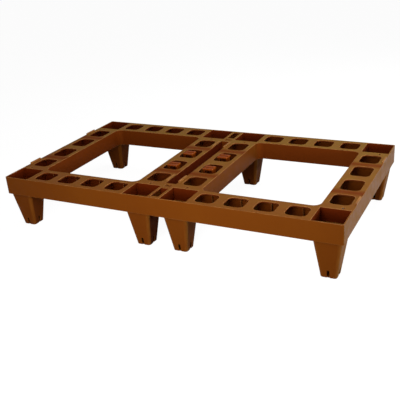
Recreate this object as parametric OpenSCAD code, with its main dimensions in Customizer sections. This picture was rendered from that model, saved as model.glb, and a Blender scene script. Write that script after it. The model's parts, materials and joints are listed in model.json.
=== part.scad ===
// Double hive stand: two moulded deck frames side by side on eight tapered legs.
// Origin on the ground under the middle of the stand, X to the right, Y to the rear, Z up.

/* [Overall] */
// Length of the whole stand, left to right
stand_length = 950; // [900:2:1000]
// Depth of the whole stand, front to rear
stand_depth = 530; // [500:2:560]
// Height of the deck above the ground
stand_height = 148; // [130:1:180]
// Width of the channel between the two frames
channel_width = 30.5; // [26:0.5:36]

/* [Beams] */
// Width of a beam of the deck
beam_width = 78; // [72:1:84]
// Height of a beam
beam_height = 49.5; // [44:0.5:56]
// Thickness of the deck plate
deck_thickness = 3.5; // [2.5:0.25:4.5]
// Thickness of the walls of the beams and sockets
wall_thickness = 3; // [2:0.25:4]
// Radius of the outer corners of the stand
corner_radius = 4; // [2:0.5:8]
// Radius of the corners of the two windows
window_radius = 20; // [12:1:28]
// Thickness of the cross ribs inside a beam
rib_thickness = 2.5; // [1.5:0.25:3.5]
// Gap between the cross ribs and the bottom of their beam
rib_gap = 6; // [3:0.5:14]
// Thickness of the upright stiffeners on the window walls
stiffener_thickness = 2; // [1.5:0.25:3]
// How far a stiffener stands out from its wall
stiffener_depth = 7; // [4:0.5:9]

/* [Deck holes] */
// Number of holes along a front or rear beam
front_hole_count = 4; // [3:1:4]
// Length of a hole in a front or rear beam
front_hole_length = 52; // [44:1:58]
// Width of every deck hole across its beam
hole_width = 51; // [44:1:54]
// Corner radius of the deck holes
hole_radius = 13; // [8:1:18]
// Length of the end holes of a side beam
end_hole_length = 58; // [50:1:62]
// Length of the middle holes of a side beam
middle_hole_length = 66; // [58:1:70]
// Diameter of the fixing holes beside the sockets
fixing_diameter = 7; // [4:0.5:8]
// Distance of a fixing hole from its socket
fixing_inset = 6; // [5:0.5:9]
// How far the fixing holes of the outer side beam stand out from its middle
fixing_offset = 14.5; // [0:0.5:18]

/* [Stops] */
// Length of the raised stops along the side edges
stop_length = 42; // [30:1:50]
// Width of a raised stop
stop_width = 4.5; // [3:0.5:6]
// Height of a raised stop above the deck
stop_height = 4; // [2:0.5:8]

/* [Legs] */
// How far the top of a leg stands in from its socket
leg_step = 2; // [1.5:0.25:4]
// Width of a leg at the ground
foot_width = 39; // [34:1:44]
// Corner radius of a leg at its top
leg_top_radius = 9; // [7:0.5:14]
// Corner radius of a leg at the ground
foot_radius = 7; // [5:0.5:10]
// Thickness of the leg walls
leg_wall = 3; // [2:0.25:3.5]
// Thickness of the sole of a leg
sole_thickness = 2.5; // [2:0.25:5]
// Width of the slit in each face of a foot
slit_width = 6.5; // [3:0.5:8]
// Height of the slits above the ground
slit_height = 20; // [10:1:24]
// Depth of the slits across the edge of the sole
slit_notch = 1.5; // [0.5:0.25:2.5]
// Thickness of the two ribs across the corners of a foot
foot_rib_thickness = 2; // [1.5:0.25:3]
// Height of the spigot of a leg inside its socket
spigot_height = 12; // [8:1:16]
// Thickness of the shoulder under the spigot
shoulder_thickness = 3; // [2:0.25:4]
// Width of the ledge inside a socket
ledge_width = 4; // [3:0.25:5]
// Thickness of the ledge inside a socket
ledge_thickness = 3; // [2:0.25:4]
// Width of the snap tongues of a leg
tongue_width = 14; // [10:1:20]
// Thickness of the snap tongues
tongue_thickness = 2.2; // [1.5:0.1:3]
// How far the barb of a tongue stands out
barb_depth = 1.8; // [1:0.1:2.5]
// Height of the barb of a tongue
barb_height = 5; // [3:0.5:8]

/* [Bridges and keys] */
// How far a bridge across the channel reaches past the sockets
bridge_reach = 18; // [16:1:24]
// Width of the lips beside the slot of a bridge
slot_lip = 4.5; // [4:0.5:8]
// Length of the slot of a bridge
slot_length = 52; // [40:1:56]
// Distance of the slot from the outer face
slot_margin = 12; // [8:1:16]
// How far a bow-tie key reaches into each frame
key_reach = 9; // [7:0.5:11]
// Width of a key at its waist
key_waist = 8; // [6:0.5:10]
// Width of a key at its ends
key_end = 15; // [12:0.5:20]
// Height of a key
key_height = 26; // [18:1:36]
// How far the top of a key lies below the deck
key_drop = 2; // [1:0.25:4]
// Thickness of the floor that a key stands on
key_floor = 3; // [2:0.25:5]

/* [Clips] */
// Mean gap between a link clip and the sides of its hole
clip_side_gap = 10.5; // [8:0.5:12]
// How far a clip is parked to the left of the middle of its hole
clip_shift = 4.5; // [0:0.5:6]
// Gap between a link clip and the ends of its hole
clip_end_gap = 20; // [14:1:22]
// How far the top of a clip stands above the deck
clip_rise = 3.5; // [1:0.25:4]
// Height of the two bars of a clip
clip_bar_height = 4.5; // [4.5:0.5:8]
// Edge radius of the two bars of a clip
clip_bar_radius = 2; // [1:0.25:2]
// Width of the groove between the two bars of a clip
clip_groove = 3; // [2:0.5:5]
// Thickness of the web that joins the two bars of a clip
clip_web = 2.5; // [2:0.25:3.5]
// Thickness of the two legs of a clip
clip_leg = 5; // [4:0.5:6]
// Width of the two legs of a clip
clip_leg_width = 16; // [12:1:18]
// How far the barbs of a clip stand out
clip_barb = 1.5; // [1:0.25:2]
// Height of the barbs of a clip
clip_barb_height = 4; // [2:0.5:6]
// Depth of the shelf that a clip stands on below the deck
shelf_depth = 24; // [20:1:30]
// Width of the shelf under a clip
shelf_width = 24; // [20:1:32]
// Thickness of the shelf under a clip
shelf_thickness = 3; // [2:0.25:4]
// Height of the post that a clip is parked over
post_height = 8; // [6:0.5:10]
// Width of the post that a clip is parked over
post_width = 12; // [8:1:15]

/* [Hidden] */
// Clearance between pieces that slide together
fit_clearance = 0.3;
// How far a cut runs past the face that it opens
overrun = 1;
// Thickness of the slices that a tapered leg is drawn between
slice = 0.05;
// Webs of a side beam, as shares of its length between the holes
end_web_share = 1 / 6;
side_web_share = 5 / 22;
// Pitch of the stiffeners, as a share of the pitch of the front holes
stiffener_pitch_share = 1.02;
$fn = 64;
leg_fn = 32;

frame_length = (stand_length - channel_width) / 2;
frame_centre = (channel_width + frame_length) / 2;
window_length = frame_length - 2 * beam_width;
window_depth = stand_depth - 2 * beam_width;
beam_bottom = stand_height - beam_height;
side_beam_centre = (frame_length - beam_width) / 2;
front_beam_centre = (stand_depth - beam_width) / 2;
cavity_width = beam_width - 2 * wall_thickness;
cavity_height = beam_height - deck_thickness;
rib_height = cavity_height - rib_gap;
deck_underside = stand_height - deck_thickness;

front_pitch = window_length / front_hole_count;
front_span = front_hole_count - 1;
web_total = window_depth - 2 * end_hole_length - 2 * middle_hole_length;
end_web = web_total * end_web_share;
side_web = web_total * side_web_share;
end_hole_centre = window_depth / 2 - end_web - end_hole_length / 2;
middle_hole_centre = end_hole_centre - end_hole_length / 2 - side_web - middle_hole_length / 2;
side_rib_centre = end_hole_centre - end_hole_length / 2 - side_web / 2;
fixing_centre = window_depth / 2 - fixing_inset;

leg_top_width = cavity_width - 2 * leg_step;
leg_bore_width = leg_top_width - 2 * leg_wall;
foot_rib_top = sole_thickness + slit_height;
spigot_width = cavity_width - 2 * fit_clearance;
spigot_top = beam_bottom + spigot_height;
ledge_top = spigot_top + ledge_thickness;
ledge_opening = cavity_width - 2 * ledge_width;
tongue_outer = ledge_opening / 2 - fit_clearance;
tongue_inner = tongue_outer - tongue_thickness;
barb_bottom = ledge_top + fit_clearance;

half_channel = channel_width / 2;
bridge_length = beam_width + bridge_reach;
slot_end = slot_margin + slot_length;
key_centre = (stand_depth - bridge_length - slot_end) / 2;
key_depth = key_height + key_drop;
key_bottom = stand_height - key_depth;

clip_hole_centre = frame_centre - side_beam_centre;
clip_length = hole_width - 2 * clip_side_gap;
clip_width = middle_hole_length - 2 * clip_end_gap;
clip_span = clip_length - 2 * clip_leg;
clip_top = stand_height + clip_rise;
clip_bar_width = (clip_width - clip_groove) / 2;
clip_bar_centre = (clip_width - clip_bar_width) / 2;
clip_bar_bottom = clip_top - clip_bar_height;
clip_leg_top = clip_bar_bottom + clip_web / 2;
shelf_top = stand_height - shelf_depth;
post_length = clip_span - 2 * (clip_barb + fit_clearance + clip_shift);

frame_colour = "#7a4417";
key_colour = "#743f15";
leg_colour = "#6d3a12";
clip_colour = "#8f4f1b";

// Plan of a rectangle with rounded corners, about its middle
module rounded_plan(length, width, radius) {
    corner = min(radius, length / 2, width / 2);
    square([length - 2 * corner, width], center = true);
    square([length, width - 2 * corner], center = true);
    for (x = [-1, 1], y = [-1, 1])
        translate([x * (length / 2 - corner), y * (width / 2 - corner)])
            circle(corner);
}

// Block about its middle in plan, standing on the given level
module block(length, width, height, level) {
    translate([-length / 2, -width / 2, level])
        cube([length, width, height]);
}

// Places its children in the four corner sockets of a frame
module at_sockets() {
    for (x = [-1, 1], y = [-1, 1])
        translate([x * side_beam_centre, y * front_beam_centre, 0])
            children();
}

// Plan of a frame, with its two outer corners rounded and its channel side square
module frame_plan() {
    difference() {
        square([frame_length, stand_depth], center = true);
        for (y = [-1, 1])
            translate([-frame_length / 2, y * stand_depth / 2])
                square(2 * corner_radius, center = true);
    }
    for (y = [-1, 1])
        translate([corner_radius - frame_length / 2, y * (stand_depth / 2 - corner_radius)])
            circle(corner_radius);
}

// Ring of hollow beams under the deck plate, open below, with a square socket in each corner
module frame_shell() {
    difference() {
        translate([0, 0, beam_bottom])
            linear_extrude(beam_height)
                frame_plan();
        translate([0, 0, beam_bottom - overrun])
            linear_extrude(beam_height + 2 * overrun)
                rounded_plan(window_length, window_depth, window_radius);
        at_sockets()
            block(cavity_width, cavity_width, beam_height + 2 * overrun, beam_bottom - overrun);
        for (x = [-1, 1])
            translate([x * side_beam_centre, 0, 0])
                block(cavity_width, window_depth, cavity_height + overrun, beam_bottom - overrun);
        for (y = [-1, 1])
            translate([0, y * front_beam_centre, 0])
                block(window_length, cavity_width, cavity_height + overrun, beam_bottom - overrun);
    }
}

// Cross ribs under the webs between the deck holes
module cross_ribs() {
    for (x = [-1, 1], y = [-1, 0, 1])
        translate([x * side_beam_centre, y * side_rib_centre, 0])
            block(beam_width - wall_thickness, rib_thickness, rib_height, deck_underside - rib_height);
    for (y = [-1, 1], i = [1 : front_span])
        translate([(i - front_hole_count / 2) * front_pitch, y * front_beam_centre, 0])
            block(rib_thickness, beam_width - wall_thickness, rib_height, deck_underside - rib_height);
}

// Upright stiffeners on the inside of the front and rear window walls
module window_stiffeners() {
    pitch = front_pitch * stiffener_pitch_share;
    middle = (window_depth + wall_thickness + stiffener_depth) / 2;
    for (y = [-1, 1], i = [0 : front_span])
        translate([(i - front_span / 2) * pitch, y * middle, 0])
            block(stiffener_thickness, stiffener_depth + wall_thickness, cavity_height, beam_bottom);
}

// Ledge round the inside of each socket, which the legs bear on
module socket_ledges() {
    at_sockets()
        difference() {
            block(cavity_width + wall_thickness, cavity_width + wall_thickness, ledge_thickness, spigot_top);
            block(ledge_opening, ledge_opening, ledge_thickness + 2 * overrun, spigot_top - overrun);
        }
}

// Shelves with a post, across the channel-side beam under the holes that hold the clips
module clip_shelves() {
    for (y = [-1, 1])
        translate([side_beam_centre, y * middle_hole_centre, 0]) {
            block(beam_width - wall_thickness, shelf_width, shelf_thickness, shelf_top - shelf_thickness);
            block(post_length, post_width, post_height + shelf_thickness, shelf_top - shelf_thickness);
        }
}

// Raised stops along both side edges, level with the end holes
module edge_stops() {
    for (x = [-1, 1], y = [-1, 1])
        translate([x * (frame_length - stop_width) / 2, y * end_hole_centre, 0])
            block(stop_width, stop_length, stop_height + deck_thickness, deck_underside);
}

// Cuts one deck hole through the plate
module deck_hole(length, width) {
    translate([0, 0, deck_underside - overrun])
        linear_extrude(deck_thickness + 2 * overrun)
            rounded_plan(length, width, hole_radius);
}

// All the openings in the deck plate of a frame
module deck_holes() {
    for (x = [-1, 1], y = [-1, 1])
        translate([x * side_beam_centre, 0, 0]) {
            translate([0, y * end_hole_centre, 0])
                deck_hole(hole_width, end_hole_length);
            translate([0, y * middle_hole_centre, 0])
                deck_hole(hole_width, middle_hole_length);
            translate([min(x, 0) * fixing_offset, y * fixing_centre, deck_underside - overrun])
                cylinder(h = deck_thickness + 2 * overrun, d = fixing_diameter);
        }
    for (y = [-1, 1], i = [0 : front_span])
        translate([(i - front_span / 2) * front_pitch, y * front_beam_centre, 0])
            deck_hole(front_hole_length, hole_width);
}

// Plan of a bow-tie key about its middle, set out by a clearance
module key_plan(clearance) {
    reach = key_reach + clearance;
    waist = key_waist / 2 + clearance;
    end = key_end / 2 + clearance;
    polygon([[-reach, -end], [0, -waist], [reach, -end], [reach, end], [0, waist], [-reach, end]]);
}

// Half of a bridge across the channel: deck plate, upright walls and the boss that holds a key
// X runs from the side of the frame to the joint, Y from the outer face to the channel
module half_bridge() {
    start = -wall_thickness;
    width = half_channel + wall_thickness;
    difference() {
        union() {
            translate([start, 0, deck_underside])
                cube([width, bridge_length, deck_thickness]);
            for (y = [0, bridge_length - wall_thickness])
                translate([start, y, beam_bottom])
                    cube([width, wall_thickness, beam_height]);
            translate([start, slot_end, key_bottom - key_floor])
                cube([width, bridge_length - slot_end, key_depth + key_floor]);
        }
        translate([slot_lip, slot_margin, deck_underside - overrun])
            cube([half_channel, slot_length, deck_thickness + 2 * overrun]);
        translate([half_channel, (bridge_length + slot_end) / 2, key_bottom])
            linear_extrude(key_depth + overrun)
                key_plan(fit_clearance);
    }
}

// The front and rear half bridges on the channel side of a frame
module half_bridges() {
    for (side = [0, 1])
        mirror([0, side, 0])
            translate([frame_length / 2, -stand_depth / 2, 0])
                half_bridge();
}

// One deck frame, with its channel side towards positive X
module deck_frame() {
    color(frame_colour)
        difference() {
            union() {
                frame_shell();
                cross_ribs();
                window_stiffeners();
                socket_ledges();
                clip_shelves();
                edge_stops();
                half_bridges();
            }
            deck_holes();
        }
}

module left_frame() {
    translate([-frame_centre, 0, 0])
        deck_frame();
}

module right_frame() {
    translate([frame_centre, 0, 0])
        rotate(180)
            deck_frame();
}

// Bow-tie key that locks the two frames together: end is -1 at the front and 1 at the rear
module bow_tie_key(end) {
    color(key_colour)
        translate([0, end * key_centre, key_bottom])
            linear_extrude(key_height)
                key_plan(0);
}

module front_key() { bow_tie_key(-1); }
module rear_key() { bow_tie_key(1); }

// Width of a leg at a height above the ground, less a wall on each side
function leg_width(height, wall) =
    foot_width + (leg_top_width - foot_width) * height / beam_bottom - 2 * wall;

// Corner radius of a leg at a height above the ground, less a wall
function leg_radius(height, wall) =
    foot_radius + (leg_top_radius - foot_radius) * height / beam_bottom - wall;

// Solid taper of a leg between two heights, set in by a wall
module leg_taper(low, high, wall) {
    hull()
        for (height = [low, high - slice])
            translate([0, 0, height])
                linear_extrude(slice)
                    rounded_plan(leg_width(height, wall), leg_width(height, wall),
                        leg_radius(height, wall), $fn = leg_fn);
}

// Cuts a slit in the face of a foot, from the given level up and to a depth behind the edge of the sole
module foot_slit(depth, level) {
    start = foot_width / 2 - depth;
    translate([start, -slit_width / 2, level])
        cube([leg_width(slit_height, 0) / 2 + overrun - start, slit_width, slit_height - level]);
}

// Ribs that cross inside a foot from corner to corner, between its slits
module foot_ribs() {
    intersection() {
        leg_taper(sole_thickness / 2, foot_rib_top, leg_wall / 2);
        for (turn = [45, 135])
            rotate(turn)
                block(2 * foot_width, foot_rib_thickness, foot_rib_top, 0);
    }
}

// Snap tongue that stands on the shoulder and hooks over the socket ledge
module snap_tongue() {
    translate([(tongue_inner + spigot_width / 2) / 2, 0, 0])
        block(spigot_width / 2 - tongue_inner, tongue_width, shoulder_thickness, beam_bottom);
    translate([0, tongue_width / 2, 0])
        rotate([90, 0, 0])
            linear_extrude(tongue_width)
                polygon([
                    [tongue_inner, beam_bottom],
                    [tongue_outer, beam_bottom],
                    [tongue_outer, barb_bottom],
                    [tongue_outer + barb_depth, barb_bottom],
                    [tongue_outer, barb_bottom + barb_height],
                    [tongue_inner, barb_bottom + barb_height]
                ]);
}

// Hollow tapered leg about its own axis, with a spigot that fits a corner socket
module tapered_leg() {
    color(leg_colour)
        difference() {
            union() {
                leg_taper(0, beam_bottom, 0);
                block(spigot_width, spigot_width, shoulder_thickness, beam_bottom);
                difference() {
                    block(spigot_width, spigot_width, spigot_height, beam_bottom);
                    block(spigot_width - 2 * leg_wall, spigot_width - 2 * leg_wall,
                        spigot_height + overrun, beam_bottom + shoulder_thickness);
                }
            }
            leg_taper(sole_thickness, beam_bottom, leg_wall);
            translate([0, 0, beam_bottom - overrun])
                linear_extrude(shoulder_thickness + 2 * overrun)
                    rounded_plan(leg_bore_width, leg_bore_width, leg_top_radius - leg_wall);
            for (turn = [0 : 90 : 270])
                rotate(turn) {
                    foot_slit(slit_notch, -overrun);
                    foot_slit(leg_wall + overrun, sole_thickness);
                }
        }
    color(leg_colour) {
        foot_ribs();
        for (side = [0, 1])
            mirror([side, 0, 0])
                snap_tongue();
    }
}

// Places a leg under a corner: frame_side and end are -1 or 1 along X and Y
module placed_leg(frame_side, end, inner) {
    reach = inner ? -side_beam_centre : side_beam_centre;
    translate([frame_side * (frame_centre + reach), end * front_beam_centre, 0])
        tapered_leg();
}

module left_front_outer_leg() { placed_leg(-1, -1, false); }
module left_front_inner_leg() { placed_leg(-1, -1, true); }
module left_rear_outer_leg() { placed_leg(-1, 1, false); }
module left_rear_inner_leg() { placed_leg(-1, 1, true); }
module right_front_outer_leg() { placed_leg(1, -1, false); }
module right_front_inner_leg() { placed_leg(1, -1, true); }
module right_rear_outer_leg() { placed_leg(1, 1, false); }
module right_rear_inner_leg() { placed_leg(1, 1, true); }

// One leg of a clip, on the side of positive X, with a barb that points inwards
module clip_leg_post() {
    inner = clip_span / 2;
    translate([0, clip_leg_width / 2, 0])
        rotate([90, 0, 0])
            linear_extrude(clip_leg_width)
                polygon([
                    [inner, shelf_top],
                    [inner + clip_leg, shelf_top],
                    [inner + clip_leg, clip_leg_top],
                    [inner, clip_leg_top],
                    [inner, shelf_top + clip_barb_height],
                    [inner - clip_barb, shelf_top + clip_barb_height]
                ]);
}

// Head of a clip: two rounded bars side by side, joined by a web
module clip_head() {
    for (y = [-1, 1])
        translate([-clip_length / 2, y * clip_bar_centre, clip_bar_bottom + clip_bar_height / 2])
            rotate([90, 0, 90])
                linear_extrude(clip_length)
                    rounded_plan(clip_bar_width, clip_bar_height, clip_bar_radius);
    block(clip_length, 2 * clip_bar_centre, clip_web, clip_bar_bottom);
}

// Link clip parked over its post: frame_side and end are -1 or 1 along X and Y
module link_clip(frame_side, end) {
    color(clip_colour)
        translate([frame_side * clip_hole_centre - clip_shift, end * middle_hole_centre, 0]) {
            clip_head();
            for (side = [0, 1])
                mirror([side, 0, 0])
                    clip_leg_post();
        }
}

module left_front_clip() { link_clip(-1, -1); }
module left_rear_clip() { link_clip(-1, 1); }
module right_front_clip() { link_clip(1, -1); }
module right_rear_clip() { link_clip(1, 1); }

left_frame();
right_frame();
front_key();
rear_key();
left_front_outer_leg();
left_front_inner_leg();
left_rear_outer_leg();
left_rear_inner_leg();
right_front_outer_leg();
right_front_inner_leg();
right_rear_outer_leg();
right_rear_inner_leg();
left_front_clip();
left_rear_clip();
right_front_clip();
right_rear_clip();
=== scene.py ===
"""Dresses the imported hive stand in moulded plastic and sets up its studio.

The stand is two deck frames, locked side by side by bow-tie keys, on eight tapered legs,
with four link clips parked in the deck. Every piece is a merged copy of its CAD node with
its moulded edges rounded. Lengths are in metres.
"""

import json
import logging
import math
from collections.abc import Callable, Mapping, Sequence
from dataclasses import dataclass, field
from enum import Enum

import bmesh
import bpy
from mathutils import Color, Matrix, Vector
from mathutils.bvhtree import BVHTree


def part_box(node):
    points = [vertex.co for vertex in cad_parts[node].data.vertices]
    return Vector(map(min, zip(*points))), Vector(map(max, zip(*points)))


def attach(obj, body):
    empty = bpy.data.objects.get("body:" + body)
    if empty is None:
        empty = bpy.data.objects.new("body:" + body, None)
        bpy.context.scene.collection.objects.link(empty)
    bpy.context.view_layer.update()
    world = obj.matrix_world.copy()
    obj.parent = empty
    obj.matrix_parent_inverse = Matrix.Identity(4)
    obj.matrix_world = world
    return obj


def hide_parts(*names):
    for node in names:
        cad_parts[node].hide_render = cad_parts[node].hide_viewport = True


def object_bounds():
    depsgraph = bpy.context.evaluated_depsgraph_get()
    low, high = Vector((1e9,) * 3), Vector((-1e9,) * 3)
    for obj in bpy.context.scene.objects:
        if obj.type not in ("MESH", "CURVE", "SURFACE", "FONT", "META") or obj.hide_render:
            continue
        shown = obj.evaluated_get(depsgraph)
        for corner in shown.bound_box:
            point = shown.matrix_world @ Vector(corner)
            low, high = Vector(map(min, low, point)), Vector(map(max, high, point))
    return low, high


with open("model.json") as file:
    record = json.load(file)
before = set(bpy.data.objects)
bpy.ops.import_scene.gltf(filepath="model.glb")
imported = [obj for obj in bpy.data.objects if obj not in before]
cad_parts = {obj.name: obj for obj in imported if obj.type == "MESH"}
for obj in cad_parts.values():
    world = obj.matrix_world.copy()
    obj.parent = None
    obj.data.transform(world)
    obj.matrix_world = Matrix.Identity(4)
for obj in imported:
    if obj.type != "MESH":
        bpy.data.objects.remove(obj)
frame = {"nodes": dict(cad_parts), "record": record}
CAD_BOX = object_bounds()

Colour = tuple[float, float, float, float]

MM = 0.001
UP = Vector((0, 0, 1))
FULL_LEVEL = 255
WHITE: Colour = (1.0, 1.0, 1.0, 1.0)
STAND_BODY = "stand"
DECK_HEIGHT = next(
    mount["pos_m"][2] for mount in frame["record"]["mounts"] if mount["name"] == "left_deck"
)
CLIP_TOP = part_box("left_front_clip")[1][2]

log = logging.getLogger("hive_stand")


def screen(red: int, green: int, blue: int) -> Colour:
    """Turns a screen colour into the linear colour that a shader takes.

    Args:
        red: Red level, 0 to 255.
        green: Green level, 0 to 255.
        blue: Blue level, 0 to 255.

    Returns:
        The linear colour, with an alpha of 1.
    """
    shown = Color((red / FULL_LEVEL, green / FULL_LEVEL, blue / FULL_LEVEL))
    lit = shown.from_srgb_to_scene_linear()
    return lit.r, lit.g, lit.b, 1.0


def right_nearness(place: Vector) -> float:
    """Says how near a place is to the right end, which takes painted light: 0 at the left end, 1 at the
    right.
    """
    return 0.5 + place.x / (CAD_BOX[1][0] - CAD_BOX[0][0])


class Slot(Enum):
    """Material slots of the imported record."""

    FRAME = "frame_plastic"
    LEG = "leg_plastic"
    KEY = "key_plastic"
    CLIP = "clip_plastic"


class Layer(Enum):
    """Face layers of a piece, which its plastic reads."""

    # Edges that are rubbed and also take a painted highlight.
    RUBBED_AND_HIGHLIT = "rubbed_edge"
    # Painted shade in sheltered walls.
    PAINTED_SHADE = "sheltered_wall"
    # Painted sheen on the tops.
    SHEEN_TOP = "faded_top"
    # Painted light on walls facing the right end.
    RIGHT_LIGHT = "sunny_end"


class Mix(Enum):
    """Sockets of a Mix node that blends colours."""

    FACTOR = 0
    FIRST = 6
    SECOND = 7
    RESULT = 2


class Reading:
    """A socket of a shader, with maths that adds Math nodes."""

    def __init__(self, tree: "ShaderTree", socket: bpy.types.NodeSocket) -> None:
        """Wraps a socket of a tree."""
        self.tree = tree
        self.socket = socket

    def _maths(self, operation: str, first: "Reading | float", second: "Reading | float") -> "Reading":
        """Adds one Math node.

        Args:
            operation: The node's operation.
            first: First value.
            second: Second value.

        Returns:
            The node's result.
        """
        return self.tree.node("ShaderNodeMath", {"operation": operation}, {0: first, 1: second})

    def __add__(self, other: "Reading | float") -> "Reading":
        """Adds."""
        return self._maths("ADD", self, other)

    def __sub__(self, other: "Reading | float") -> "Reading":
        """Subtracts."""
        return self._maths("SUBTRACT", self, other)

    def __rsub__(self, other: "Reading | float") -> "Reading":
        """Subtracts from a number."""
        return self._maths("SUBTRACT", other, self)

    def __mul__(self, other: "Reading | float") -> "Reading":
        """Multiplies."""
        return self._maths("MULTIPLY", self, other)

    __radd__ = __add__
    __rmul__ = __mul__

    def size(self) -> "Reading":
        """Drops the sign."""
        return self._maths("ABSOLUTE", self, 0.0)

    def least(self, other: "Reading | float") -> "Reading":
        """Takes the smaller of two values."""
        return self._maths("MINIMUM", self, other)


class ShaderTree:
    """The node tree of a material or of the world."""

    def __init__(self, owner: bpy.types.Material | bpy.types.World) -> None:
        """Empties the owner's tree and starts afresh.

        Args:
            owner: Material or world that the tree belongs to.
        """
        owner.use_nodes = True
        self.tree = owner.node_tree
        self.tree.nodes.clear()

    def node(
        self,
        kind: str,
        settings: Mapping[str, object] | None = None,
        inputs: Mapping[str | int, object] | None = None,
        output: str | int = 0,
    ) -> Reading | None:
        """Adds any node.

        Args:
            kind: Type of the node.
            settings: Its settings, set first; "stops" are the places and levels of a ramp.
            inputs: Values or links of its sockets, by name or number.
            output: The socket to hand back.

        Returns:
            The chosen output, or None where the node ends the tree.
        """
        made = self.tree.nodes.new(kind)
        for name, value in (settings or {}).items():
            if name == "stops":
                for stop, (place, level) in zip(made.color_ramp.elements, value):
                    stop.position = place
                    stop.color = (level, level, level, 1.0)
            else:
                setattr(made, name, value)
        for key, value in (inputs or {}).items():
            if isinstance(value, Reading):
                self.tree.links.new(value.socket, made.inputs[key])
            else:
                made.inputs[key].default_value = value
        return Reading(self, made.outputs[output]) if made.outputs else None

    def blend(self, factor: Reading, first: Reading | Colour, second: Reading | Colour) -> Reading:
        """Blends two colours.

        Args:
            factor: 0 for the first colour, 1 for the second.
            first: First colour.
            second: Second colour.

        Returns:
            The blended colour.
        """
        inputs = {Mix.FACTOR.value: factor, Mix.FIRST.value: first, Mix.SECOND.value: second}
        return self.node("ShaderNodeMix", {"data_type": "RGBA"}, inputs, Mix.RESULT.value)

    def layer(self, layer: Layer) -> Reading:
        """Reads one of the face layers of a piece."""
        return self.node("ShaderNodeAttribute", {"attribute_name": layer.value}, output="Fac")


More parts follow.
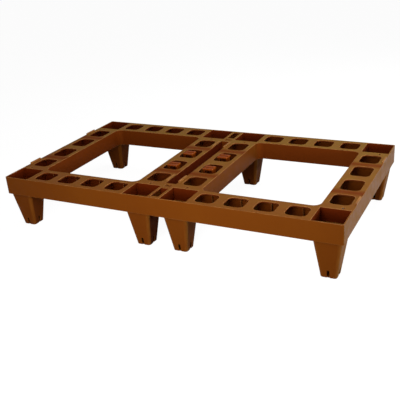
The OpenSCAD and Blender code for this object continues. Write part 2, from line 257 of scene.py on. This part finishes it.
@dataclass(frozen=True)
class MouldedPlastic:
    """Moulded plastic: cloudy colour, painted shade in sheltered walls, painted sheen on the tops,
    painted light on walls facing the right end, a satin grain, and rubbed edges with a painted
    highlight.

    Attributes:
        name: Name of the material.
        body: Main colour.
        cloud: Colour of the cloudy patches of the melt.
        edge: Colour of the edges, which are rubbed and also take a painted highlight.
        painted_shade_colour: Colour of the painted shade in sheltered walls and on the bands.
        painted_sheen: Colour of the painted sheen on the tops and of the painted light on walls facing
            the right end.
        roughness: Mean roughness of the surface.
        specular: Strength of the surface's own reflection.
        coat: Weight of the glossy skin.
        coat_roughness: Roughness of that skin.
        top_coat: Weight that the tops beside the bands add to it.
        cloud_scale: Cloudy patches in a metre.
        haze_scale: Patches of haze in a metre.
        patch_detail: Layers of finer patches in the clouds and the haze.
        patch_stops: Noise levels at which a patch starts and is full, with its strength there.
        cloud_share: Most of the cloud colour that shows.
        edge_highlight_share: Most of the edge colour, rubbing and painted highlight, that shows.
        least_rub_and_highlight: How much of the edge colour shows where there is no haze.
        rub_polish: Roughness that rubbing takes away.
        sheen_share: How much painted sheen the middle of the deck takes.
        sheen_slope: How much more painted sheen each metre towards the rear takes.
        least_sheen: Share of the painted sheen and painted light that is left where there is no haze.
        right_light_share: Most of the painted light, in the sheen colour, that shows on the walls
            facing the right end.
        chalk: Roughness that the tops and the sheltered walls add.
        band_share: Most of the painted shade colour that shows on the bands at the runners' places.
        gloss_spread: How much the roughness changes over the surface.
        grain_scale: Grains of the mould's texture in a metre.
        grain_height: Height of that grain.
        grain_detail: Layers of finer grain.
        grain_strength: How strongly the grain turns the light.
        runner_place: Distance of the hive's runners from the middle of the stand.
        runner_width: Width of the bands at the runners' places, which take painted shade and no painted
            sheen.
    """

    name: str
    body: Colour
    cloud: Colour
    edge: Colour
    painted_shade_colour: Colour
    painted_sheen: Colour
    roughness: float = 0.42
    specular: float = 0.038
    coat: float = 0.0
    coat_roughness: float = 0.4
    top_coat: float = 0.05
    cloud_scale: float = 7.0
    haze_scale: float = 42.0
    patch_detail: float = 3.0
    patch_stops: tuple[tuple[float, float], ...] = ((0.35, 0.0), (0.68, 1.0))
    cloud_share: float = 0.6
    edge_highlight_share: float = 0.8
    least_rub_and_highlight: float = 0.4
    rub_polish: float = 0.1
    sheen_share: float = 0.87
    sheen_slope: float = 1.86
    least_sheen: float = 0.55
    right_light_share: float = 0.0
    chalk: float = 0.35
    band_share: float = 0.5
    gloss_spread: float = 0.14
    grain_scale: float = 900.0
    grain_height: float = 0.06 * MM
    grain_detail: float = 2.0
    grain_strength: float = 0.6
    runner_place: float = 93 * MM
    runner_width: float = 44 * MM

    def material(self) -> bpy.types.Material:
        """Makes the material.

        Returns:
            The material, with its nodes.
        """
        made = bpy.data.materials.new(self.name)
        tree = ShaderTree(made)
        place = tree.node("ShaderNodeTexCoord", output="Object")
        cloud = self._patches(tree, place, self.cloud_scale)
        haze = self._patches(tree, place, self.haze_scale)
        grain = tree.node(
            "ShaderNodeTexNoise",
            inputs={"Vector": place, "Scale": self.grain_scale, "Detail": self.grain_detail},
        )
        # Rubbed edges take the edge colour, which is partly wear and partly a painted highlight.
        edge = tree.layer(Layer.RUBBED_AND_HIGHLIT)
        rubbed_and_highlit = edge * (self.least_rub_and_highlight + (1 - self.least_rub_and_highlight) * haze) * self.edge_highlight_share
        # Painted shade in sheltered walls.
        shade_share = tree.layer(Layer.PAINTED_SHADE)
        top = tree.layer(Layer.SHEEN_TOP)
        painted_right_light = tree.layer(Layer.RIGHT_LIGHT)
        depth = tree.node("ShaderNodeSeparateXYZ", inputs={"Vector": place}, output="Y")
        off_band = self._off_band(depth)
        # Painted sheen on the tops, stronger towards the rear, and painted light on walls facing the
        # right end.
        sheen_amount = self.sheen_share + depth * self.sheen_slope
        sheen_mix = top * off_band * sheen_amount + painted_right_light * self.right_light_share
        sheen_mix = sheen_mix * (self.least_sheen + (1 - self.least_sheen) * haze)
        colour = tree.blend(cloud * self.cloud_share, self.body, self.cloud)
        colour = tree.blend(sheen_mix, colour, self.painted_sheen)
        # The bands at the runners' places take painted shade and no painted sheen.
        colour = tree.blend(top * (1 - off_band) * self.band_share, colour, self.painted_shade_colour)
        # Sheltered walls are darkened towards the painted shade colour.
        colour = tree.blend(shade_share, colour, self.painted_shade_colour)
        colour = tree.blend(rubbed_and_highlit, colour, self.edge)
        gloss = self.roughness + (haze + grain - 1) * self.gloss_spread
        skin = self.coat + top * off_band * self.top_coat if self.top_coat else self.coat
        bump = tree.node(
            "ShaderNodeBump",
            inputs={"Strength": self.grain_strength, "Distance": self.grain_height, "Height": grain},
        )
        shader = tree.node(
            "ShaderNodeBsdfPrincipled",
            inputs={
                "Base Color": colour,
                "Roughness": gloss - rubbed_and_highlit * self.rub_polish + (top + shade_share) * self.chalk,
                "Specular IOR Level": self.specular,
                "Coat Weight": skin,
                "Coat Roughness": self.coat_roughness,
                "Normal": bump,
            },
        )
        tree.node("ShaderNodeOutputMaterial", inputs={"Surface": shader})
        return made

    def _off_band(self, depth: Reading) -> Reading:
        """Finds the tops outside the bands at the runners' places; only they take the painted sheen.

        Args:
            depth: Distance of the surface behind the middle of the stand.

        Returns:
            0 in the middle of a band, 1 beside it.
        """
        beside = (depth.size() - self.runner_place).size() * (2 / self.runner_width)
        return beside.least(1.0)

    def _patches(self, tree: ShaderTree, place: Reading, scale: float) -> Reading:
        """Makes soft patches between 0 and 1.

        Args:
            tree: Tree that takes the nodes.
            place: Coordinates of the surface.
            scale: Patches in a metre.

        Returns:
            The patches.
        """
        noise = tree.node(
            "ShaderNodeTexNoise", inputs={"Vector": place, "Scale": scale, "Detail": self.patch_detail}
        )
        return tree.node("ShaderNodeValToRGB", {"stops": self.patch_stops}, {"Fac": noise})


class Shelter:
    """The walls of the whole stand, which say how sheltered a face is and so how much painted shade it
    takes.
    """

    def __init__(self, reach: float, beam_right_light: float, wall_slope: float) -> None:
        """Gathers the walls.

        Args:
            reach: Distance to the wall opposite at which a face is in the open.
            beam_right_light: How much the painted shade inside a beam, under the deck, gives way to
                painted light towards the right end.
            wall_slope: Rise of the normal under which a face is a wall, which looks straight across.
        """
        walls = bmesh.new()
        for node in sorted(frame["nodes"]):
            walls.from_mesh(frame["nodes"][node].data)
        self.walls = BVHTree.FromBMesh(walls)
        walls.free()
        self.reach = reach
        self.beam_right_light = beam_right_light
        self.wall_slope = wall_slope
        self.beam_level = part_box("left_frame")[0][2]

    def share(self, face: bmesh.types.BMFace) -> float:
        """Looks straight out of a face.

        Args:
            face: The face.

        Returns:
            0 in the open and above the deck, and nearly 1 close to the wall opposite.
        """
        middle = face.calc_center_median()
        if middle.z > DECK_HEIGHT:
            return 0.0
        outward = face.normal.copy()
        if abs(outward.z) < self.wall_slope:
            outward.z = 0.0
            outward.normalize()
        start = middle + outward * MM
        distance = self.walls.ray_cast(start, outward, self.reach)[3]
        share = 0.0 if distance is None else 1 - distance / self.reach
        roof = self.walls.ray_cast(start, UP)[3]
        in_beam = middle.z > self.beam_level and roof is not None
        # Inside a beam the painted shade gives way to painted light towards the right end.
        return min(share, 1 - self.beam_right_light * right_nearness(middle)) if in_beam else share


SHELTER = Shelter(reach=0.8, beam_right_light=0.8, wall_slope=0.3)


@dataclass
class MouldedPieces:
    """Pieces of one kind, each a merged copy of its CAD node with its edges rounded.

    Attributes:
        ending: Last word of the nodes' names.
        slot: Material slot of the record; not used.
        finish: Plastic that the pieces are moulded in.
        edge_radius: Radius of the moulded edges.
        edge_steps: Facets round a moulded edge.
        own_bodies: Whether each piece moves on a body of its own name.
        merge_gap: Corners closer than this are one.
        seam_gap: Corners of the roundings closer than this are one.
        flat_angle: Facets that turn less than this are one face.
        sharp_angle: Edges that turn more than this are rounded.
        right_light_gain: How strongly the walls facing the right end take painted light.
        right_light_focus: How quickly that falls off as a wall turns away, as a power.
        right_light_falloff: How quickly it falls off away from the right end, as a power.
        right_light_shade: How quickly it falls off as the wall opposite comes closer, as a power.
        made: The finished pieces, by the names of their nodes.
    """

    ending: str
    slot: Slot
    finish: MouldedPlastic
    edge_radius: float
    edge_steps: int = 2
    own_bodies: bool = False
    merge_gap: float = 0.1 * MM
    seam_gap: float = 0.005 * MM
    flat_angle: float = math.radians(0.6)
    sharp_angle: float = math.radians(35)
    right_light_gain: float = 5.5
    right_light_focus: int = 8
    right_light_falloff: int = 1
    right_light_shade: int = 2
    made: dict[str, bpy.types.Object] = field(default_factory=dict)

    def build(self) -> None:
        """Makes every piece of this kind."""
        for node in sorted(frame["nodes"]):
            if node.endswith(self.ending):
                self.made[node] = self._piece(node)
                log.info("%s: %d faces", node, len(self.made[node].data.polygons))

    def dress(self) -> None:
        """Gives the pieces their plastic, hangs each on its body, and hides its CAD node."""
        plastic = self.finish.material()
        for node, piece in self.made.items():
            piece.data.materials.append(plastic)
            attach(piece, node if self.own_bodies else STAND_BODY)
            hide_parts(node)

    def round_off(self, mesh: bmesh.types.BMesh) -> None:
        """Rounds the moulded edges of one piece."""
        self.round_edges(mesh, lambda edge: True, self.edge_radius, self.edge_steps)

    def round_edges(
        self,
        mesh: bmesh.types.BMesh,
        chosen: Callable[[bmesh.types.BMEdge], bool],
        radius: float,
        steps: int,
    ) -> None:
        """Rounds the sharp outer edges that a test picks, and marks the new faces as rubbed, with a
        painted highlight.

        Args:
            mesh: Mesh of the piece.
            chosen: Says whether an edge is one of them.
            radius: Radius of the rounding.
            steps: Facets of the rounding.
        """
        rubbed_and_highlit = mesh.faces.layers.float[Layer.RUBBED_AND_HIGHLIT.value]
        edges = [
            edge
            for edge in mesh.edges
            if edge.is_manifold and edge.calc_face_angle_signed(0.0) > self.sharp_angle and chosen(edge)
        ]
        rounded = bmesh.ops.bevel(
            mesh,
            geom=edges,
            offset=radius,
            offset_type="OFFSET",
            segments=steps,
            profile=0.5,
            affect="EDGES",
            clamp_overlap=False,
            material=-1,
        )
        for face in rounded["faces"]:
            face[rubbed_and_highlit] = 1.0

    def shade_share(self, face: bmesh.types.BMFace) -> float:
        """Says how much painted shade a face takes: 0 in the open, 1 in a crack."""
        return SHELTER.share(face)

    def _right_light(self, face: bmesh.types.BMFace, openness: float) -> float:
        """Says how much painted light from the right end a face takes.

        Args:
            face: The face.
            openness: 1 in the open, and nearly 0 close to the wall opposite.

        Returns:
            0 for none, 1 for the right end itself.
        """
        facing = max(face.normal.x, 0.0) ** self.right_light_focus
        nearness = right_nearness(face.calc_center_median()) ** self.right_light_falloff
        return min(facing * nearness * openness**self.right_light_shade * self.right_light_gain, 1.0)

    def _mark(self, mesh: bmesh.types.BMesh) -> None:
        """Marks each face's painted shade, its painted sheen as a top, and its painted light from the
        right end.

        Args:
            mesh: Mesh of the piece, with its edges rounded.
        """
        painted_shade = mesh.faces.layers.float.new(Layer.PAINTED_SHADE.value)
        painted_sheen = mesh.faces.layers.float.new(Layer.SHEEN_TOP.value)
        painted_right_light = mesh.faces.layers.float.new(Layer.RIGHT_LIGHT.value)
        mesh.normal_update()
        for face in mesh.faces:
            openness = 1 - self.shade_share(face)
            face[painted_sheen] = max(face.normal.z, 0.0) * openness
            face[painted_right_light] = self._right_light(face, openness)
            face[painted_shade] = (1 - openness) * (1 - face[painted_right_light])

    def _piece(self, node: str) -> bpy.types.Object:
        """Makes one piece.

        Args:
            node: Name of its CAD node.

        Returns:
            The piece's object.
        """
        mesh = bmesh.new()
        mesh.from_mesh(frame["nodes"][node].data)
        bmesh.ops.remove_doubles(mesh, verts=mesh.verts, dist=self.merge_gap)
        bmesh.ops.dissolve_limit(mesh, angle_limit=self.flat_angle, verts=mesh.verts, edges=mesh.edges)
        mesh.faces.layers.float.new(Layer.RUBBED_AND_HIGHLIT.value)
        self.round_off(mesh)
        bmesh.ops.remove_doubles(mesh, verts=mesh.verts, dist=self.seam_gap)
        self._mark(mesh)
        data = bpy.data.meshes.new(node + "_moulded")
        mesh.to_mesh(data)
        mesh.free()
        data.materials.clear()
        data.shade_smooth()
        data.set_sharp_from_angle(angle=self.sharp_angle)
        piece = bpy.data.objects.new(node + "_moulded", data)
        bpy.context.scene.collection.objects.link(piece)
        piece.modifiers.new("even_shading", "WEIGHTED_NORMAL").keep_sharp = True
        return piece


@dataclass
class DeckFrames(MouldedPieces):
    """The two deck frames, which meet face to face in the middle of the stand.

    Attributes:
        plane_gap: What is closer than this to the plane of the deck or of the joint lies in it.
        rim_radius: Radius of the rims of the openings in the deck.
        rim_steps: Facets round a rim.
    """

    plane_gap: float = 0.1 * MM
    rim_radius: float = 1.0 * MM
    rim_steps: int = 3

    def round_off(self, mesh: bmesh.types.BMesh) -> None:
        """Parts the stops from the walls, then rounds the deck's rims and all edges but the joint's.

        Args:
            mesh: Mesh of the piece.
        """
        bmesh.ops.bisect_plane(
            mesh,
            geom=[*mesh.verts, *mesh.edges, *mesh.faces],
            dist=self.merge_gap,
            plane_co=(0, 0, DECK_HEIGHT),
            plane_no=UP,
        )
        rubbed_and_highlit = mesh.faces.layers.float[Layer.RUBBED_AND_HIGHLIT.value]
        # The tops of the stops above the deck take the edge colour, as a painted highlight.
        for face in mesh.faces:
            face[rubbed_and_highlit] = float(face.calc_center_median().z > DECK_HEIGHT + self.plane_gap)
        self.round_edges(mesh, self._on_rim, self.rim_radius, self.rim_steps)
        self.round_edges(
            mesh,
            lambda edge: any(abs(corner.co.x) > self.plane_gap for corner in edge.verts),
            self.edge_radius,
            self.edge_steps,
        )

    def _on_rim(self, edge: bmesh.types.BMEdge) -> bool:
        """Looks for the rims of the openings in the deck.

        Args:
            edge: The edge.

        Returns:
            Whether it lies in the deck, away from the joint and from the outside of the stand.
        """
        outside = CAD_BOX[1]
        return all(
            abs(corner.co.z - DECK_HEIGHT) < self.plane_gap
            and self.plane_gap < abs(corner.co.x) < outside[0] - self.rim_radius
            and abs(corner.co.y) < outside[1] - self.rim_radius
            for corner in edge.verts
        )


@dataclass
class TaperedLegs(MouldedPieces):
    """The tapered legs, whose round corners take a painted highlight in the edge colour.

    Attributes:
        corner_highlight: How much painted highlight the middle of a round corner takes.
    """

    corner_highlight: float = 0.8

    def round_off(self, mesh: bmesh.types.BMesh) -> None:
        """Rounds the sharp edges, then gives the round corners a painted highlight in the edge colour.

        Args:
            mesh: Mesh of the piece.
        """
        super().round_off(mesh)
        mesh.normal_update()
        rubbed_and_highlit = mesh.faces.layers.float[Layer.RUBBED_AND_HIGHLIT.value]
        for face in mesh.faces:
            across_corner = 2 * abs(face.normal.x * face.normal.y)
            face[rubbed_and_highlit] = max(face[rubbed_and_highlit], across_corner * self.corner_highlight)


@dataclass
class LinkClips(MouldedPieces):
    """The link clips, whose bars have full round ends.

    Attributes:
        bar_height: Height of the part of the bars above the groove between them.
        end_radius: Radius of the ends of the bars.
        end_steps: Facets round an end.
    """

    bar_height: float = 2.1 * MM
    end_radius: float = 1.4 * MM
    end_steps: int = 4

    def round_off(self, mesh: bmesh.types.BMesh) -> None:
        """Rounds the ends of the bars first, then every other edge.

        Args:
            mesh: Mesh of the piece.
        """
        self.round_edges(
            mesh,
            lambda edge: all(corner.co.z > CLIP_TOP - self.bar_height for corner in edge.verts),
            self.end_radius,
            self.end_steps,
        )
        super().round_off(mesh)

    def shade_share(self, face: bmesh.types.BMFace) -> float:
        """Gives the floor of the groove between the bars full painted shade, as in a crack.

        Args:
            face: The face.

        Returns:
            0 in the open, 1 in a crack.
        """
        flat = face.normal.z > math.cos(self.sharp_angle)
        low = DECK_HEIGHT < face.calc_center_median().z < CLIP_TOP - self.bar_height / 2
        return 1.0 if flat and low else super().shade_share(face)


@dataclass(frozen=True)
class SoftBox:
    """A soft studio lamp.

    Attributes:
        name: Name of the lamp.
        place: Where it stands.
        aim: Point that it faces.
        width: Width of its panel.
        height: Height of its panel.
        power: Power in watts.
    """

    name: str
    place: Vector
    aim: Vector
    width: float
    height: float
    power: float

    def build(self) -> None:
        """Adds the lamp."""
        lamp = bpy.data.lights.new(self.name, "AREA")
        lamp.shape = "RECTANGLE"
        lamp.size = self.width
        lamp.size_y = self.height
        lamp.energy = self.power
        stand = bpy.data.objects.new(self.name, lamp)
        stand.visible_camera = False
        turn = (self.aim - self.place).to_track_quat("-Z", "Y").to_matrix().to_4x4()
        stand.matrix_world = Matrix.Translation(self.place) @ turn
        bpy.context.scene.collection.objects.link(stand)


@dataclass(frozen=True)
class PhotoCamera:
    """Camera at the photograph's viewing angle.

    Attributes:
        place: Where it stands.
        azimuth: Turn about the stand, in degrees.
        elevation: Angle above the horizon, in degrees.
        roll: Turn about its own axis, in degrees.
        focal_length: Focal length, in pixels of the picture.
        picture_width: Width of the picture, in pixels.
    """

    place: Vector = Vector((0.78884, -1.46736, 0.76454))
    azimuth: float = 28.61
    elevation: float = 23.80
    roll: float = -4.49
    focal_length: float = 638.41
    picture_width: int = 400

    def build(self) -> None:
        """Adds the camera and makes it the scene's own."""
        lens = bpy.data.cameras.new("photo_camera")
        lens.lens = self.focal_length / self.picture_width * lens.sensor_width
        camera = bpy.data.objects.new("photo_camera", lens)
        camera.matrix_world = (
            Matrix.Translation(self.place)
            @ Matrix.Rotation(math.radians(self.azimuth), 4, "Z")
            @ Matrix.Rotation(math.radians(90 - self.elevation), 4, "X")
            @ Matrix.Rotation(math.radians(self.roll), 4, "Z")
        )
        bpy.context.scene.collection.objects.link(camera)
        bpy.context.scene.camera = camera


@dataclass(frozen=True)
class Studio:
    """Pale floor, white backdrop and soft lamps.

    Attributes:
        floor_reach: Distance from the middle of the floor to its sides.
        floor_drop: How far the floor lies below the feet.
        floor_colour: Colour of the floor.
        floor_lift: Light that the floor adds to its own shade in the picture.
        sky_level: Light of the backdrop on the stand.
        backdrop_level: Light of the backdrop in the picture, where 1 is white.
        lamps: The soft lamps.
    """

    floor_reach: float = 6.0
    floor_drop: float = 0.2 * MM
    floor_colour: Colour = (0.18, 0.18, 0.18, 1.0)
    floor_lift: float = 0.93
    sky_level: float = 0.2
    backdrop_level: float = 1.0
    lamps: Sequence[SoftBox] = (
        SoftBox(
            "back_lamp",
            place=Vector((0.2, 0.9, 1.5)),
            aim=Vector((0.1, 0.1, 0.1)),
            width=1.0,
            height=0.8,
            power=6.8,
        ),
        SoftBox(
            "right_lamp",
            place=Vector((1.5, -0.2, 0.3)),
            aim=Vector((0.1, 0, 0.1)),
            width=0.8,
            height=0.2,
            power=6.4,
        ),
        SoftBox(
            "front_lamp",
            place=Vector((0.15, -0.85, 0.72)),
            aim=Vector((0, -0.26, 0.1)),
            width=0.5,
            height=0.4,
            power=2.8,
        ),
        SoftBox(
            "low_lamp",
            place=Vector((0.15, -1.1, 0.3)),
            aim=Vector((0, -0.26, 0.1)),
            width=0.5,
            height=0.3,
            power=4.0,
        ),
        SoftBox(
            "near_lamp",
            place=Vector((0.5, 0, 0.6)),
            aim=Vector((0.1, 0, 0.12)),
            width=0.3,
            height=0.3,
            power=0.9,
        ),
        SoftBox(
            "glint_lamp",
            place=Vector((0.7, 1.65, 1.05)),
            aim=Vector((0, 0, 0.15)),
            width=0.1,
            height=0.1,
            power=2.0,
        ),
    )

    def build(self) -> None:
        """Sets up the whole studio."""
        bpy.context.scene.view_settings.view_transform = "Standard"
        self._floor()
        self._backdrop()
        for lamp in self.lamps:
            lamp.build()

    def _seen(self, tree: ShaderTree) -> Reading:
        """Says which rays show the backdrop in the picture, in gloss or through glass.

        Args:
            tree: Tree that takes the nodes.

        Returns:
            1 for such a ray, 0 for one that only lights the stand.
        """
        camera = tree.node("ShaderNodeLightPath", output="Is Camera Ray")
        gloss = tree.node("ShaderNodeLightPath", output="Is Glossy Ray")
        glass = tree.node("ShaderNodeLightPath", output="Is Transmission Ray")
        return camera + gloss + glass

    def _floor(self) -> None:
        """Lays the floor, which stays white but for the shadow of the stand."""
        mesh = bmesh.new()
        bmesh.ops.create_grid(mesh, x_segments=1, y_segments=1, size=self.floor_reach)
        bmesh.ops.translate(mesh, verts=mesh.verts, vec=(0, 0, -self.floor_drop))
        data = bpy.data.meshes.new("floor")
        mesh.to_mesh(data)
        mesh.free()
        material = bpy.data.materials.new("pale_floor")
        tree = ShaderTree(material)
        matt = tree.node("ShaderNodeBsdfDiffuse", inputs={"Color": self.floor_colour})
        lift = tree.node("ShaderNodeEmission", inputs={"Strength": self._seen(tree) * self.floor_lift})
        both = tree.node("ShaderNodeAddShader", inputs={0: matt, 1: lift})
        tree.node("ShaderNodeOutputMaterial", inputs={"Surface": both})
        data.materials.append(material)
        floor = bpy.data.objects.new("floor", data)
        bpy.context.scene.collection.objects.link(floor)

    def _backdrop(self) -> None:
        """Makes the world white where it is seen, and plainly lit elsewhere."""
        world = bpy.data.worlds.new("backdrop")
        bpy.context.scene.world = world
        tree = ShaderTree(world)
        lit, shown = (
            tree.node("ShaderNodeBackground", inputs={"Color": WHITE, "Strength": level})
            for level in (self.sky_level, self.backdrop_level)
        )
        both = tree.node("ShaderNodeMixShader", inputs={0: self._seen(tree), 1: lit, 2: shown})
        tree.node("ShaderNodeOutputWorld", inputs={"Surface": both})


# In each plastic the edge colour is a rubbed edge with a painted highlight, the shade colour is painted
# shade, and the sheen colour is painted sheen on the tops and painted light on walls facing the right
# end.
FRAME_BROWN = MouldedPlastic(
    "frame_brown",
    body=screen(122, 61, 10),
    cloud=screen(128, 67, 11),
    edge=screen(178, 122, 70),
    painted_shade_colour=screen(99, 30, 2),
    painted_sheen=screen(136, 95, 34),
    right_light_share=0.7,
)
LEG_BROWN = MouldedPlastic(
    "leg_brown",
    body=screen(120, 59, 10),
    cloud=screen(124, 64, 11),
    edge=screen(148, 90, 32),
    painted_shade_colour=screen(84, 34, 6),
    painted_sheen=screen(138, 98, 42),
    roughness=0.6,
    chalk=0.2,
    sheen_share=0.0,
    sheen_slope=0.0,
    right_light_share=0.7,
)
KEY_BROWN = MouldedPlastic(
    "key_brown",
    body=screen(114, 56, 10),
    cloud=screen(120, 62, 11),
    edge=screen(140, 84, 30),
    painted_shade_colour=screen(92, 36, 5),
    painted_sheen=screen(126, 80, 24),
)
CLIP_AMBER = MouldedPlastic(
    "clip_amber",
    body=screen(130, 55, 5),
    cloud=screen(136, 61, 6),
    edge=screen(170, 86, 24),
    painted_shade_colour=screen(100, 34, 3),
    painted_sheen=screen(134, 59, 6),
    roughness=0.3,
    coat=0.06,
    coat_roughness=0.1,
    top_coat=0.0,
    gloss_spread=0.05,
    grain_height=0.02 * MM,
)


def main() -> None:
    """Builds the camera, the studio and every piece of the stand."""
    logging.basicConfig(level=logging.INFO, format="%(message)s")
    PhotoCamera().build()
    Studio().build()
    stand: Sequence[MouldedPieces] = (
        DeckFrames("_frame", Slot.FRAME, FRAME_BROWN, edge_radius=0.5 * MM),
        MouldedPieces("_key", Slot.KEY, KEY_BROWN, edge_radius=0.6 * MM),
        TaperedLegs("_leg", Slot.LEG, LEG_BROWN, edge_radius=0.5 * MM, right_light_falloff=2),
        LinkClips("_clip", Slot.CLIP, CLIP_AMBER, edge_radius=0.4 * MM, own_bodies=True),
    )
    for pieces in stand:
        pieces.build()
        pieces.dress()


if __name__ == "__main__":
    main()
